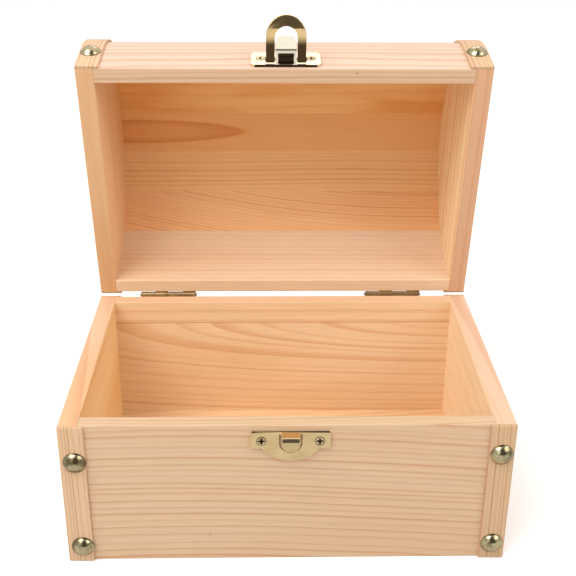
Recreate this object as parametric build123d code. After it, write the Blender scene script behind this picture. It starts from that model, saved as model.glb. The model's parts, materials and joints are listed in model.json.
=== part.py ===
"""Hinged treasure chest box of unfinished pine with a domed lid, brass nails and a brass hasp.

The chest stands on the plane z = 0 with its origin under the middle of the box,
+X to the right of someone who faces the hasp, and +Y to the back. The lid is
modelled shut, where its sizes are easy to read, and is then turned back on its
hinges to the angle at which the chest is kept open.
"""
from build123d import *
import math
import os

os.makedirs("parts", exist_ok=True)

# Box: lengths are in millimetres and angles in degrees
box_width = 200.0
panel_depth = 130.8
box_height = 72.0
end_thickness = 8.7
wall_thickness = 7.5
bottom_thickness = 3.2
bottom_rebate = 3.6
wood_edge_radius = 0.7

# Corner strips, the same thin stock on the box and over the lid
strip_width = 11.4
strip_thickness = 1.3
strip_edge_radius = 0.8

# Lid: straight walls, then an arch of three arcs
lid_wall_height = 22.0
dome_rise_share = 0.9113
haunch_radius_share = 0.8104
stave_angle = 25.2
first_joint_angle = -57.0
stave_count = 5
lid_open_angle = 79.0
rim_gap = 0.4

# Butt hinges on the back faces, with their pins at the rim
hinge_length = 30.0
hinge_margins = (37.0, 39.8)
hinge_axis_offset = 1.8
leaf_height = 11.0
leaf_thickness = 0.7
barrel_radius = 1.55
hinge_pin_radius = 0.75
hinge_pin_clearance = 0.06
hinge_pin_overhang = 0.5
hinge_bore_sides = 12
knuckle_count = 4
knuckle_gap = 0.25
knuckle_relief = 0.35
brad_spacing = 20.0
brad_height = 6.4
brad_head_radius = 1.7
brad_head_thickness = 0.5
brad_half_shank = 0.5
brad_length = 6.5
brad_point_length = 1.5
brad_head_sides = 12

# Domed upholstery nails
nail_head_radius = 4.85
nail_head_height = 2.5
nail_half_shank = 0.65
nail_length = 12.0
nail_point_length = 3.0
upper_nail_drops = (19.0, 15.0)
lower_nail_heights = (7.0, 9.0)
lid_nail_height = 17.0

# Wood screws with countersunk cross recess heads; a shank with few sides stands for the thread
screw_shank_radius = 1.1
screw_shank_sides = 8
screw_length = 6.5
screw_head_radius = 2.35
screw_head_rise = 0.15
screw_clearance = 0.15
cross_length_share = 0.62
cross_width_share = 0.2
cross_depth = 0.75
pilot_clearance = 0.04

# Hasp plate on the lid and the strike plate on the box, both pressed as trays
hasp_shift = 0.4
strike_shift = 1.2
sheet_thickness = 0.6
latch_plate_width = 33.6
latch_plate_height = 15.0
latch_plate_rise = 1.2
latch_plate_lift = 2.0
latch_corner_radius = 2.4
latch_screw_spacing = 24.5
latch_screw_height = 7.8
strike_width = 34.9
strike_band_height = 8.1
strike_arc_radius = 15.6
strike_height = 14.6
strike_rise = 1.3
strike_drop = 3.0
strike_corner_radius = 0.8
strike_screw_spacing = 25.5
strike_screw_drop = 4.3

# Hook folded out of the strike plate
hook_width = 8.1
hook_reach = 6.2
hook_length = 6.9
hook_bend_radius = 1.1
hook_slot_width = 10.2
hook_slot_length = 10.4
hook_slot_top = 0.9

# Hasp pin, swinging ring and thumb lever
hasp_pin_radius = 0.7
hasp_pin_clearance = 0.06
hasp_pin_head_radius = 1.15
hasp_pin_head_thickness = 0.5
hasp_axis_rise = 2.0
hasp_axis_lift = 1.9
ring_sheet = 0.8
ring_width = 19.1
ring_leg_width = 4.15
ring_reach = 23.5
ring_opening_reach = 18.8
ring_crease_reach = 17.8
ring_crease_angle = 24.0
lever_width = 10.1
lever_sheet = 0.7
lever_height = 7.6
lever_tab_length = 9.6
lever_tab_width = 9.0
lever_tab_angle = 18.0
lever_tab_corner = 1.6
lever_bend_radius = 1.2
lever_cheek_share = 0.5
lever_window_margin = 0.4
lever_bar_width = 1.9
lever_plate_clearance = 0.5
lever_lift = 0.2
plate_knuckle_share = 0.78

# One overrun serves every cutting tool
overrun = 5.0

# Places worked out from the sizes above
half_width = box_width / 2
half_depth = panel_depth / 2
dome_rise = dome_rise_share * half_depth
haunch_radius = haunch_radius_share * half_depth
inner_half_width = half_width - end_thickness
inner_half_depth = half_depth - wall_thickness
lid_rim = box_height + rim_gap
hinge_y = half_depth + hinge_axis_offset
hinge_z = box_height + rim_gap / 2
hinge_axis = Axis((0, hinge_y, hinge_z), (1, 0, 0))
front_y = -half_depth
strip_centre = half_width - strip_width / 2
hinge_centres = (hinge_margins[0] - half_width, half_width - hinge_margins[1])
latch_low = lid_rim + latch_plate_lift
hasp_axis_y = front_y - latch_plate_rise - hasp_axis_rise
hasp_axis_z = latch_low + hasp_axis_lift
strike_top = box_height - strike_drop
ring_eye_radius = hasp_pin_radius + hasp_pin_clearance + ring_sheet
plate_knuckle_radius = hasp_pin_radius + hasp_pin_clearance + sheet_thickness
plate_knuckle_half = plate_knuckle_share * (lever_width / 2 - lever_sheet)


def block(low, high):
    """A box between two corners, each given as x, y and z."""
    size = [b - a for a, b in zip(low, high)]
    centre = [(a + b) / 2 for a, b in zip(low, high)]
    return Pos(*centre) * Box(*size)


def rod_x(radius, x_low, x_high, y, z):
    """A round bar along X."""
    return Pos((x_low + x_high) / 2, y, z) * Rot(0, 90, 0) * Cylinder(radius, x_high - x_low)


def flat_sided_bar_x(radius, sides, x_low, x_high, y, z):
    """A bar along X whose flat sides all stand at the same distance from its middle line."""
    section = Plane.YZ * RegularPolygon(radius, sides, major_radius=False)
    return Pos(x_low, y, z) * extrude(section, x_high - x_low, dir=(1, 0, 0))


def side_face(points):
    """A face in the plane across X, from points given as y and z."""
    return make_face(Polyline(*[(0, y, z) for y, z in points], close=True))


def across(face, x_low, x_high):
    """Carry a face that lies across X from one x to another."""
    return Pos(x_low, 0, 0) * extrude(face, x_high - x_low, dir=(1, 0, 0))


def as_open(shape):
    """Turn a piece of the shut lid back to the angle at which the lid stands open."""
    return shape.rotate(hinge_axis, -lid_open_angle)


def save(shape, node):
    """Write one piece, or one group of like pieces, under its name."""
    shape.label = node
    export_step(shape, os.path.join("parts", node + ".step"))


# Arch of the lid


def crown_radius_for(half_span, rise, haunch):
    """Radius of the crown arc that meets both haunch arcs without a corner."""
    return ((half_span - haunch) ** 2 + rise**2 - haunch**2) / (2 * (rise - haunch))


def arch_outline(inset):
    """Closed outline of the lid seen from its end, moved inwards by an inset."""
    crown = crown_radius_for(half_depth, dome_rise, haunch_radius)
    spring = lid_rim + lid_wall_height
    haunch_y = half_depth - haunch_radius
    crown_drop = crown - dome_rise
    turn = math.degrees(math.atan2(haunch_y, crown_drop))
    small = haunch_radius - inset
    large = crown - inset
    wall_y = half_depth - inset
    meet_y = large * math.sin(math.radians(turn))
    meet_z = spring - crown_drop + large * math.cos(math.radians(turn))
    middle = math.radians((90 + turn) / 2)
    haunch_mid_y = haunch_y + small * math.sin(middle)
    haunch_mid_z = spring + small * math.cos(middle)
    top_z = spring - crown_drop + large
    edges = [
        Line((0, -wall_y, lid_rim), (0, wall_y, lid_rim)),
        Line((0, wall_y, lid_rim), (0, wall_y, spring)),
        ThreePointArc((0, wall_y, spring), (0, haunch_mid_y, haunch_mid_z), (0, meet_y, meet_z)),
        ThreePointArc((0, meet_y, meet_z), (0, 0, top_z), (0, -meet_y, meet_z)),
        ThreePointArc((0, -meet_y, meet_z), (0, -haunch_mid_y, haunch_mid_z), (0, -wall_y, spring)),
        Line((0, -wall_y, spring), (0, -wall_y, lid_rim)),
    ]
    return make_face(Wire(edges))


def arch_shell(outset, inset, x_low, x_high):
    """A stretch of arched wall between two offsets of the lid's outline, open at the rim."""
    outer = across(arch_outline(-outset), x_low, x_high)
    inner = across(arch_outline(inset), x_low, x_high)
    return outer - inner


def wedge(angle_low, angle_high, x_low, x_high):
    """A wedge that opens from the arch's centre, with its angles counted back from the top."""
    reach = half_depth + dome_rise
    spring = lid_rim + lid_wall_height
    corners = [(0, spring)]
    for angle in (angle_low, (angle_low + angle_high) / 2, angle_high):
        turn = math.radians(angle)
        corners.append((reach * math.sin(turn), spring + reach * math.cos(turn)))
    return across(side_face(corners), x_low, x_high)


# Fasteners, each made with its head on y = 0 facing -Y and its point towards +Y


def spike(half_shank, length, point_length):
    """A square shank with a four-sided point."""
    shoulder = length - point_length
    side = side_face(
        [
            (0, -half_shank),
            (shoulder, -half_shank),
            (length, 0),
            (shoulder, half_shank),
            (0, half_shank),
        ]
    )
    blade = across(side, -half_shank, half_shank)
    return blade & (Rot(0, 90, 0) * blade)


def nail():
    """A domed head on a square shank."""
    crown = (nail_head_radius**2 + nail_head_height**2) / (2 * nail_head_height)
    mid_turn = math.asin(nail_head_radius / crown) / 2
    mid_point = (crown * math.sin(mid_turn), -nail_head_height + crown - crown * math.cos(mid_turn))
    half = make_face(
        Wire(
            [
                ThreePointArc((0, -nail_head_height), mid_point, (nail_head_radius, 0)),
                Line((nail_head_radius, 0), (0, 0)),
                Line((0, 0), (0, -nail_head_height)),
            ]
        )
    )
    return revolve(half, Axis.Y) + spike(nail_half_shank, nail_length, nail_point_length)


def nail_pilot():
    """The hole that a nail's shank fills."""
    return spike(nail_half_shank + pilot_clearance, nail_length + pilot_clearance, nail_point_length)


def brad():
    """A flat-headed brad that holds a hinge leaf."""
    disc = Plane.XZ * RegularPolygon(brad_head_radius, brad_head_sides)
    head = Pos(0, -leaf_thickness, 0) * extrude(disc, brad_head_thickness, dir=(0, -1, 0))
    half = brad_half_shank
    neck = block((-half, -leaf_thickness, -half), (half, 0, half))
    return head + neck + spike(half, brad_length, brad_point_length)


def brad_pilot():
    """The hole that a brad fills in its leaf and in the wood."""
    half = brad_half_shank + pilot_clearance
    through_leaf = block((-half, -leaf_thickness - overrun, -half), (half, 0, half))
    return through_leaf + spike(half, brad_length + pilot_clearance, brad_point_length)


def octagon_bar(radius, length):
    """A bar with the screw shank's sides, from y = 0 towards +Y."""
    return extrude(Plane.XZ * RegularPolygon(radius, screw_shank_sides), length, dir=(0, 1, 0))


def screw(plate_rise):
    """A countersunk wood screw whose head stands a little proud of a plate of the given rise."""
    head_y = -plate_rise - screw_head_rise
    cone_end = head_y + screw_head_radius - screw_shank_radius
    half = make_face(
        Polyline(
            (0, head_y),
            (screw_head_radius, head_y),
            (screw_shank_radius, cone_end),
            (0, cone_end),
            close=True,
        )
    )
    shank = Pos(0, cone_end, 0) * octagon_bar(screw_shank_radius, screw_length - cone_end)
    solid = revolve(half, Axis.Y) + shank
    arm = 2 * screw_head_radius * cross_length_share
    slot = 2 * screw_head_radius * cross_width_share
    for size in ((arm, slot), (slot, arm)):
        solid -= Pos(0, head_y, 0) * Box(size[0], 2 * cross_depth, size[1])
    return solid


def screw_seat(plate_rise):
    """The countersunk hole that a screw needs in its plate and the bore in the wood behind."""
    rim = screw_head_radius + screw_clearance
    bore = screw_shank_radius + screw_clearance
    head_y = -plate_rise - screw_head_rise
    cone_end = head_y + rim - bore
    half = make_face(
        Polyline(
            (0, head_y),
            (rim, head_y),
            (bore, cone_end),
            (0, cone_end),
            close=True,
        )
    )
    hole = Pos(0, cone_end, 0) * octagon_bar(bore, screw_length + screw_clearance - cone_end)
    return revolve(half, Axis.Y) + hole


def copies(shape, places):
    """The same piece at each place."""
    return [Pos(*place) * shape for place in places]


def cut_all(shape, tools):
    """Take every tool out of a piece."""
    for tool in tools:
        shape = shape - tool
    return shape


def edges_near(shape, axis, test):
    """Straight edges along an axis whose middle passes a test."""
    return [edge for edge in shape.edges().filter_by(axis) if test(edge.center())]


# Places of the fasteners, all worked out with the lid shut

box_nail_places = [
    (side * strip_centre, front_y - strip_thickness, level)
    for side, drop, low in zip((-1, 1), upper_nail_drops, lower_nail_heights)
    for level in (box_height - drop, low)
]
lid_nail_places = [
    (side * strip_centre, front_y - strip_thickness, lid_rim + lid_nail_height) for side in (-1, 1)
]
latch_screw_level = latch_low + latch_screw_height
latch_screw_places = [
    (hasp_shift + side * latch_screw_spacing / 2, front_y, latch_screw_level) for side in (-1, 1)
]
strike_screw_level = strike_top - strike_screw_drop
strike_screw_places = [
    (strike_shift + side * strike_screw_spacing / 2, front_y, strike_screw_level) for side in (-1, 1)
]


def brad_places(level):
    """Places of one row of hinge brads, at a height, heads to the back."""
    return [
        Pos(centre + side * brad_spacing / 2, half_depth, level) * Rot(0, 0, 180)
        for centre in hinge_centres
        for side in (-1, 1)
    ]


box_brad_level = hinge_z - brad_height
lid_brad_level = hinge_z + brad_height
latch_seat = screw_seat(latch_plate_rise)
strike_seat = screw_seat(strike_rise)


# Box


def bottom_rebate_tool():
    """The step that the bottom panel fills along the lower inner edges of the walls."""
    x = inner_half_width + bottom_rebate
    y = inner_half_depth + bottom_rebate
    return block((-x, -y, -overrun), (x, y, bottom_thickness))


def box_front():
    wall = block((-inner_half_width, front_y, 0), (inner_half_width, -inner_half_depth, box_height))
    return cut_all(wall - bottom_rebate_tool(), copies(strike_seat, strike_screw_places))


def box_back():
    wall = block((-inner_half_width, inner_half_depth, 0), (inner_half_width, half_depth, box_height))
    pilots = [place * brad_pilot() for place in brad_places(box_brad_level)]
    return cut_all(wall - bottom_rebate_tool(), pilots)


def box_end(side):
    """An end panel, which runs the full depth and hides the ends of the front and back."""
    inner, outer = sorted((side * inner_half_width, side * half_width))
    wall = block((inner, front_y, 0), (outer, half_depth, box_height))
    arrises = edges_near(wall, Axis.Y, lambda c: abs(c.X) > inner_half_width + wood_edge_radius)
    wall = fillet(arrises, wood_edge_radius) - bottom_rebate_tool()
    return cut_all(wall, copies(nail_pilot(), box_nail_places))


def box_bottom():
    x = inner_half_width + bottom_rebate
    y = inner_half_depth + bottom_rebate
    return block((-x, -y, 0), (x, y, bottom_thickness))


def box_strip(side, face):
    """A corner strip on the front (face -1) or the back (face 1)."""
    x_low, x_high = sorted((side * half_width, side * (half_width - strip_width)))
    y_low, y_high = sorted((face * half_depth, face * (half_depth + strip_thickness)))
    strip = block((x_low, y_low, 0), (x_high, y_high, box_height))
    arris = edges_near(
        strip, Axis.Z, lambda c: abs(c.X) > strip_centre and abs(c.Y) > half_depth + strip_thickness / 2
    )
    return cut_all(fillet(arris, strip_edge_radius), copies(nail_pilot(), box_nail_places))


# Lid, shut


def lid_band(angle_low, angle_high):
    """A board of the arched lid between two joints."""
    shell = arch_shell(0, wall_thickness, -inner_half_width, inner_half_width)
    return shell & wedge(angle_low, angle_high, -half_width, half_width)


def lid_front_rail():
    """The front board, from the rim to the first joint of the arch."""
    rail = lid_band(-90, first_joint_angle)
    spring = lid_rim + lid_wall_height
    rail += block((-inner_half_width, front_y, lid_rim), (inner_half_width, -inner_half_depth, spring))
    return cut_all(rail, copies(latch_seat, latch_screw_places))


def lid_back_rail():
    """The back board, from the last joint of the arch to the rim."""
    rail = lid_band(first_joint_angle + stave_count * stave_angle, 90)
    spring = lid_rim + lid_wall_height
    rail += block((-inner_half_width, inner_half_depth, lid_rim), (inner_half_width, half_depth, spring))
    return cut_all(rail, [place * brad_pilot() for place in brad_places(lid_brad_level)])


def lid_stave(number):
    """One of the glued boards of the arch, counted from the front."""
    start = first_joint_angle + number * stave_angle
    return lid_band(start, start + stave_angle)


def lid_end(side):
    """An end board cut to the arch."""
    x_low, x_high = sorted((side * inner_half_width, side * half_width))
    board = across(arch_outline(0), x_low, x_high)
    arrises = edges_near(board, Axis.Y, lambda c: abs(c.X) > inner_half_width + wood_edge_radius)
    return cut_all(fillet(arrises, wood_edge_radius), copies(nail_pilot(), lid_nail_places))


def lid_strip(side):
    """A strip bent over the arch from the front rim to the back rim."""
    x_low, x_high = sorted((side * half_width, side * (half_width - strip_width)))
    strip = arch_shell(strip_thickness, 0, x_low, x_high)
    return cut_all(strip, copies(nail_pilot(), lid_nail_places))


# Hinges


def leaf(centre, upward):
    """A hinge leaf with every second knuckle; upward is 1 on the lid and -1 on the box."""
    low_x = centre - hinge_length / 2
    high_x = low_x + hinge_length
    far_z = hinge_z + upward * leaf_height
    z_low, z_high = sorted((hinge_z, far_z))
    plate = block((low_x, half_depth, z_low), (high_x, half_depth + leaf_thickness, z_high))
    pitch = hinge_length / knuckle_count
    bore_radius = hinge_pin_radius + hinge_pin_clearance
    bore_ends = (low_x - overrun, high_x + overrun)
    bore = flat_sided_bar_x(bore_radius, hinge_bore_sides, *bore_ends, hinge_y, hinge_z)
    relief = barrel_radius + knuckle_relief
    notch_y = (half_depth - overrun, half_depth + leaf_thickness + overrun)
    play = knuckle_gap / 2
    first = 0 if upward < 0 else 1
    for slot in range(knuckle_count):
        start = low_x + slot * pitch
        if slot % 2 == first:
            plate += rod_x(barrel_radius, start + play, start + pitch - play, hinge_y, hinge_z)
        else:
            notch_x = (start - play, start + pitch + play)
            low, high = zip(notch_x, notch_y, (hinge_z - relief, hinge_z + relief))
            plate -= block(low, high)
    plate = plate - bore
    level = box_brad_level if upward < 0 else lid_brad_level
    return cut_all(plate, [place * brad_pilot() for place in brad_places(level)])


def hinge_pin(centre):
    """The wire pin through all the knuckles."""
    reach = hinge_length / 2 + hinge_pin_overhang
    flats = hinge_pin_radius * math.cos(math.pi / hinge_bore_sides)
    return flat_sided_bar_x(flats, hinge_bore_sides, centre - reach, centre + reach, hinge_y, hinge_z)


# Hasp plate, pin, ring and lever, shut, with the ring and the lever square to the plate


def tray(face, rise):
    """A pressed plate: a flat front with its edges turned back to the wood."""
    front = extrude(face, rise, dir=(0, -1, 0))
    hollow = extrude(offset(face, -sheet_thickness), rise - sheet_thickness, dir=(0, -1, 0))
    return front - hollow


def latch_plate():
    """The tray on the lid with a knuckle for the hasp pin at its lower edge."""
    middle = latch_low + latch_plate_height / 2
    shape = RectangleRounded(latch_plate_width, latch_plate_height, latch_corner_radius)
    face = Plane((hasp_shift, front_y, middle), x_dir=(1, 0, 0), z_dir=(0, -1, 0)) * shape
    plate = cut_all(tray(face, latch_plate_rise), copies(latch_seat, latch_screw_places))
    low_x = hasp_shift - plate_knuckle_half
    high_x = hasp_shift + plate_knuckle_half
    face_y = front_y - latch_plate_rise
    lug = block((low_x, hasp_axis_y, hasp_axis_z), (high_x, face_y, hasp_axis_z + plate_knuckle_radius))
    plate += lug + rod_x(plate_knuckle_radius, low_x, high_x, hasp_axis_y, hasp_axis_z)
    bore_radius = hasp_pin_radius + hasp_pin_clearance
    return plate - rod_x(bore_radius, low_x - overrun, high_x + overrun, hasp_axis_y, hasp_axis_z)


def hasp_pin():
    """The rivet that the ring and the lever turn on."""
    reach = ring_width / 2 + hasp_pin_clearance
    low_x = hasp_shift - reach
    high_x = hasp_shift + reach
    pin = rod_x(hasp_pin_radius, low_x, high_x, hasp_axis_y, hasp_axis_z)
    for start in (low_x - hasp_pin_head_thickness, high_x):
        pin += rod_x(hasp_pin_head_radius, start, start + hasp_pin_head_thickness, hasp_axis_y, hasp_axis_z)
    return pin


def ring_plan(y_inner):
    """The ring seen along its thickness: an arched plate with an arched opening."""
    plate_y = front_y - latch_plate_rise
    outer_radius = ring_width / 2
    inner_radius = outer_radius - ring_leg_width
    outer_y = plate_y - ring_reach + outer_radius
    inner_y = plate_y - ring_opening_reach + inner_radius

    def arch(radius, centre_y):
        left = hasp_shift - radius
        right = hasp_shift + radius
        tip = (hasp_shift, centre_y - radius, 0)
        return make_face(
            Wire(
                [
                    Line((left, y_inner, 0), (left, centre_y, 0)),
                    ThreePointArc((left, centre_y, 0), tip, (right, centre_y, 0)),
                    Line((right, centre_y, 0), (right, y_inner, 0)),
                    Line((right, y_inner, 0), (left, y_inner, 0)),
                ]
            )
        )

    return arch(outer_radius, outer_y) - arch(inner_radius, inner_y)


def latch_ring():
    """The swinging ring: two curled eyes, flat legs and an arch creased outwards as a grip."""
    sheet_low = hasp_axis_z - ring_eye_radius
    crease_y = front_y - latch_plate_rise - ring_crease_reach
    tip = ring_reach - ring_crease_reach + overrun
    turn = math.radians(ring_crease_angle)
    half_turn = math.tan(turn / 2) * ring_sheet
    tip_y = crease_y - tip * math.cos(turn)
    tip_z = sheet_low + tip * math.sin(turn)
    side = side_face(
        [
            (hasp_axis_y, sheet_low),
            (crease_y, sheet_low),
            (tip_y, tip_z),
            (tip_y + ring_sheet * math.sin(turn), tip_z + ring_sheet * math.cos(turn)),
            (crease_y + half_turn, sheet_low + ring_sheet),
            (hasp_axis_y, sheet_low + ring_sheet),
        ]
    )
    reach = ring_width / 2
    band = across(side, hasp_shift - reach, hasp_shift + reach)
    plan = extrude(ring_plan(hasp_axis_y), 2 * overrun + tip, dir=(0, 0, 1))
    ring = band & (Pos(0, 0, hasp_axis_z - overrun) * plan)
    for start in (hasp_shift - reach, hasp_shift + reach - ring_leg_width):
        ring += rod_x(ring_eye_radius, start, start + ring_leg_width, hasp_axis_y, hasp_axis_z)
    bore = rod_x(
        hasp_pin_radius + hasp_pin_clearance,
        hasp_shift - reach - overrun,
        hasp_shift + reach + overrun,
        hasp_axis_y,
        hasp_axis_z,
    )
    return ring - bore


def latch_lever():
    """The thumb lever: a folded channel on the pin, with a window for the plate's knuckle and a tab."""
    plate_y = front_y - latch_plate_rise
    web_y = plate_y - lever_plate_clearance
    fold_y = plate_y - lever_height
    low_z = latch_low + lever_lift
    turn = math.radians(lever_tab_angle)
    tab_dy = -math.sin(turn)
    tab_dz = math.cos(turn)
    bend = lever_bend_radius
    corner_in = lever_sheet * (1 - math.sin(turn)) / math.cos(turn)
    outer = [
        (web_y, low_z),
        (fold_y, low_z),
        (fold_y + tab_dy * lever_tab_length, low_z + tab_dz * lever_tab_length),
    ]
    inner = [
        (outer[2][0] + lever_sheet * tab_dz, outer[2][1] - lever_sheet * tab_dy),
        (fold_y + corner_in, low_z + lever_sheet),
        (web_y, low_z + lever_sheet),
    ]
    profile = side_face(outer + inner)
    half = lever_width / 2
    low_x = hasp_shift - half
    high_x = hasp_shift + half
    strip = across(profile, low_x, high_x)
    bend_edges = edges_near(
        strip, Axis.X, lambda c: abs(c.Y - fold_y) < bend and abs(c.Z - low_z) < lever_sheet / 2
    )
    strip = fillet(bend_edges, bend)
    for side in (-1, 1):
        near, far = sorted((hasp_shift + side * lever_tab_width / 2, hasp_shift + side * (half + overrun)))
        tab_y = (fold_y - lever_tab_length, fold_y + lever_sheet + bend)
        strip -= block((near, tab_y[0], low_z + bend), (far, tab_y[1], low_z + lever_tab_length))
    through_tab = Axis((0, 0, 0), (0, tab_dz, -tab_dy))
    tip_z = outer[2][1]
    tip_corners = edges_near(strip, through_tab, lambda c: c.Z > tip_z - lever_sheet)
    strip = fillet(tip_corners, lever_tab_corner)
    cheek_length = lever_cheek_share * lever_tab_length
    cheek = side_face(
        [
            (web_y, low_z),
            (fold_y + bend, low_z),
            (fold_y, low_z + bend),
            (fold_y + tab_dy * cheek_length, low_z + tab_dz * cheek_length),
            (hasp_axis_y, low_z + tab_dz * cheek_length),
            (web_y, hasp_axis_z),
        ]
    )
    for inner_x in (low_x, high_x - lever_sheet):
        strip += across(cheek, inner_x, inner_x + lever_sheet)
    window_half = plate_knuckle_half + lever_window_margin
    strip -= block(
        (hasp_shift - window_half, fold_y + lever_bar_width, low_z - overrun),
        (hasp_shift + window_half, plate_y, low_z + lever_sheet),
    )
    return strip - rod_x(
        hasp_pin_radius + hasp_pin_clearance, low_x - overrun, high_x + overrun, hasp_axis_y, hasp_axis_z
    )


# Strike plate on the box


def strike_outline():
    """A band with a round bow below it, seen from the front."""
    band = RectangleRounded(strike_width, strike_band_height, strike_corner_radius)
    bow = Pos(0, strike_arc_radius - strike_height) * Circle(strike_arc_radius)
    below_band = 2 * (strike_height - strike_band_height / 2)
    bow = bow & (Pos(0, -strike_height) * Rectangle(strike_width, below_band))
    return Pos(0, -strike_band_height / 2) * band + bow


def hook_slot():
    """The opening that the hook was cut from."""
    half = hook_slot_width / 2
    square = hook_slot_length - half
    upper = Pos(0, -(hook_slot_top + square) / 2) * Rectangle(hook_slot_width, square - hook_slot_top)
    return upper + Pos(0, -square) * Circle(half)


def strike_plate():
    """The tray on the box with its hook folded out over the top edge and down."""
    front = Plane((strike_shift, front_y, strike_top), x_dir=(1, 0, 0), z_dir=(0, -1, 0))
    plate = tray(front * strike_outline(), strike_rise)
    plate = cut_all(plate, copies(strike_seat, strike_screw_places))
    plate -= extrude(front * hook_slot(), strike_rise + overrun, dir=(0, -1, 0))
    reach_y = front_y - hook_reach
    root_y = front_y - strike_rise + sheet_thickness
    bottom_z = strike_top - hook_length
    profile = side_face(
        [
            (root_y, strike_top),
            (reach_y, strike_top),
            (reach_y, bottom_z),
            (reach_y + sheet_thickness, bottom_z),
            (reach_y + sheet_thickness, strike_top - sheet_thickness),
            (root_y, strike_top - sheet_thickness),
        ]
    )
    half = hook_width / 2
    hook = across(profile, strike_shift - half, strike_shift + half)
    skin = sheet_thickness / 2
    outer_bend = edges_near(hook, Axis.X, lambda c: c.Y < reach_y + skin and c.Z > strike_top - skin)
    hook = fillet(outer_bend, hook_bend_radius)
    tongue = Pos(0, -(hook_length - half) / 2) * Rectangle(hook_width, hook_length - half)
    tongue += Pos(0, half - hook_length) * Circle(half)
    tongue = extrude(front * tongue, hook_reach + overrun, dir=(0, -1, 0))
    return plate + (hook & tongue)


# Write every piece

save(box_front(), "box_front_panel")
save(box_back(), "box_back_panel")
save(box_bottom(), "box_bottom_panel")
for side_name, side in (("left", -1), ("right", 1)):
    save(box_end(side), f"box_{side_name}_end_panel")
    save(box_strip(side, -1), f"box_front_{side_name}_strip")
    save(box_strip(side, 1), f"box_back_{side_name}_strip")
    save(as_open(lid_end(side)), f"lid_{side_name}_end_board")
    save(as_open(lid_strip(side)), f"lid_{side_name}_strip")
save(Compound(copies(nail(), box_nail_places)), "box_nails")

save(as_open(lid_front_rail()), "lid_front_rail")
save(as_open(lid_back_rail()), "lid_back_rail")
for number in range(stave_count):
    save(as_open(lid_stave(number)), f"lid_stave_{number + 1}")
save(as_open(Compound(copies(nail(), lid_nail_places))), "lid_nails")

for side_name, centre in zip(("left", "right"), hinge_centres):
    save(leaf(centre, -1), f"{side_name}_hinge_box_leaf")
    save(as_open(leaf(centre, 1)), f"{side_name}_hinge_lid_leaf")
    save(hinge_pin(centre), f"{side_name}_hinge_pin")
save(Compound([place * brad() for place in brad_places(box_brad_level)]), "hinge_box_brads")
save(as_open(Compound([place * brad() for place in brad_places(lid_brad_level)])), "hinge_lid_brads")

save(as_open(latch_plate()), "latch_plate")
save(as_open(Compound(copies(screw(latch_plate_rise), latch_screw_places))), "latch_screws")
save(as_open(hasp_pin()), "hasp_pin")
save(as_open(latch_ring()), "latch_ring")
save(as_open(latch_lever()), "latch_lever")

save(strike_plate(), "strike_plate")
save(Compound(copies(screw(strike_rise), strike_screw_places)), "strike_screws")
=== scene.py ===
# %% [markdown]
# # A small pine treasure chest
#
# The chest is a hinged box of unfinished pine with a domed lid, thin strips over
# its corners, domed nails, two butt hinges and a brass hasp. Its sizes and joints
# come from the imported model, which this lesson loads first and never moves. What is
# added here is the finish: every board gets its own grain, the sharp edges of the
# sawn wood are eased, and the pressed brass gets its sheen and its smudges.

# %% Load the chest
import json
import math

import bmesh
import bpy
import numpy as np
from mathutils import Matrix, Vector
from mathutils.bvhtree import BVHTree

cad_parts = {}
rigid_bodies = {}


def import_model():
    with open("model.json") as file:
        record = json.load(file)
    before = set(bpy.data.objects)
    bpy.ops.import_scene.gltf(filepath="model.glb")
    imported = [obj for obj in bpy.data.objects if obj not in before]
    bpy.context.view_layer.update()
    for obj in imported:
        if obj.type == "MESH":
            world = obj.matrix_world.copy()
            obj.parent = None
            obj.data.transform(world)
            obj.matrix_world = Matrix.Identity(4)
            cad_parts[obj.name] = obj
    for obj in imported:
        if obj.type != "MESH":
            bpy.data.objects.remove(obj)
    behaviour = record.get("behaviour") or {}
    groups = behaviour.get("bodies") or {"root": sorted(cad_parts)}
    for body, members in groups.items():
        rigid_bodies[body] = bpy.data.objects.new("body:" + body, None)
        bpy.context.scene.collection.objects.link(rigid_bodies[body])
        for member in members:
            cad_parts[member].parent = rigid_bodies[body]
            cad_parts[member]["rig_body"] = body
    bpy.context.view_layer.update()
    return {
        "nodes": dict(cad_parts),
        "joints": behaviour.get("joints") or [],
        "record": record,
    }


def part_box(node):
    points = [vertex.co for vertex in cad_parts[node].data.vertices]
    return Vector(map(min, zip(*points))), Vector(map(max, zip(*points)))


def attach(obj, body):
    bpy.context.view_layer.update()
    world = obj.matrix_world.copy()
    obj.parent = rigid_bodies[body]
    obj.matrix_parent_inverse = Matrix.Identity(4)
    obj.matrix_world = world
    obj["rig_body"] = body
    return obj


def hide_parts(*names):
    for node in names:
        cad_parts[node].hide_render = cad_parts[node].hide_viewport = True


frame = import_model()
hinge = next(joint for joint in frame["joints"] if joint["name"] == "lid_hinge")
hinge_line = Vector(hinge["pos_m"])
open_turn = math.radians(hinge["range_deg"][0])
mm = 0.001
print("pieces", len(frame["nodes"]), "lid open by", round(-math.degrees(open_turn)), "degrees")

# %% [markdown]
# ## Camera, floor and light
#
# The camera stands in front of the chest, a little to the left of its middle, and
# looks down on it by 25 degrees. A long lens keeps the box's sides nearly parallel.
# The turn is built from three plain rotations, so each can be read by itself: a pan,
# a downward tilt, and a very small roll.

# %% Place the camera
camera_place = Vector((-9.2, -439.2, 311.5)) * mm
camera_pan = math.radians(-1.34)
camera_tilt = math.radians(-24.94)
camera_roll = math.radians(-0.41)
focal_pixels = 1015.6
image_pixels = 576
sensor_width = 36.0

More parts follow.
